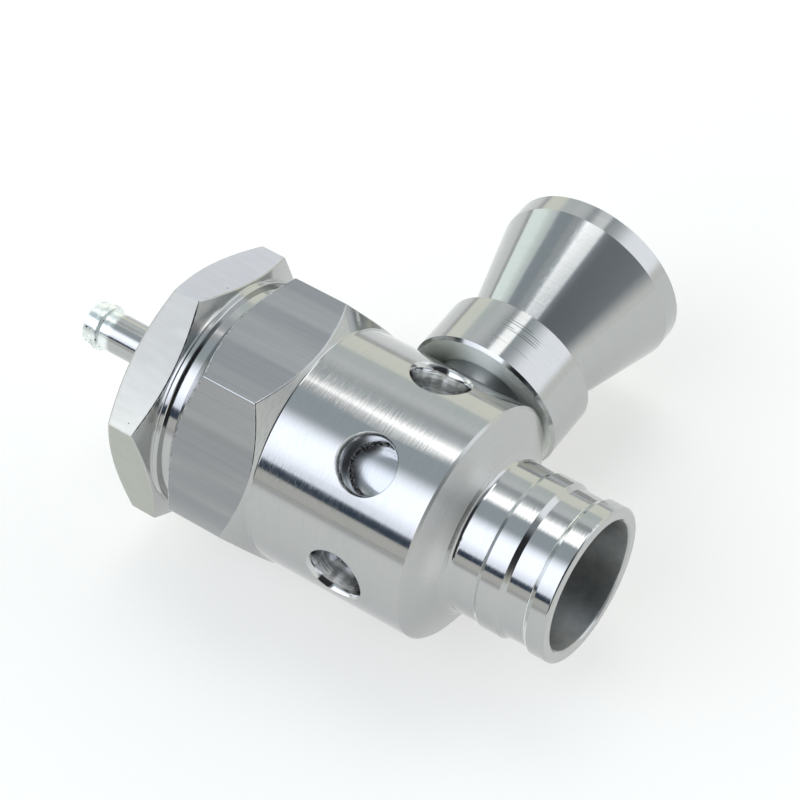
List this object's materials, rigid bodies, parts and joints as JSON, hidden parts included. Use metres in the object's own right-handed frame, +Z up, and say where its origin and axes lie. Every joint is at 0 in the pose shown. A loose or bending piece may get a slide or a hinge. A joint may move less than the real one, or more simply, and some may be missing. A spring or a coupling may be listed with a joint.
{
  "type": "blow off valve",
  "caption": "Piston blow off valve with a round ported barrel, hexagon cap, side horn, hose spigot and vacuum nipple.",
  "frame": {"origin": "centre of the inlet spigot's open mouth, on the valve's main axis", "axes": "+X along the main axis out of the inlet's mouth, +Y along the horn towards its open end, +Z up, square to both, through the middle between the two upper vents"},
  "size_m": [0.0939, 0.0758, 0.0454],
  "materials": {
    "valve_body": "turned and polished",
    "cap": "turned and polished",
    "cap_o_ring": "moulded",
    "vacuum_nipple": "turned and polished",
    "horn": "turned and polished",
    "spring": "drawn wire",
    "piston": "fine turned",
    "piston_o_ring": "moulded",
    "seat_o_ring": "moulded"
  },
  "bodies": {
    "valve": {"valve_body": "valve_body", "cap": "cap", "cap_o_ring": "cap_o_ring", "vacuum_nipple": "vacuum_nipple", "horn": "horn", "spring": "spring"},
    "piston": {"piston": "piston", "piston_o_ring": "piston_o_ring", "seat_o_ring": "seat_o_ring"}
  },
  "joints": [
    {"name": "piston_slide", "type": "slide", "parent": "valve", "child": "piston", "axis": [-1, 0, 0], "range_m": [0, 0.0152], "stiffness_N_per_m": 1200, "springref_m": -0.0143, "deforming": ["spring"]}
  ]
}
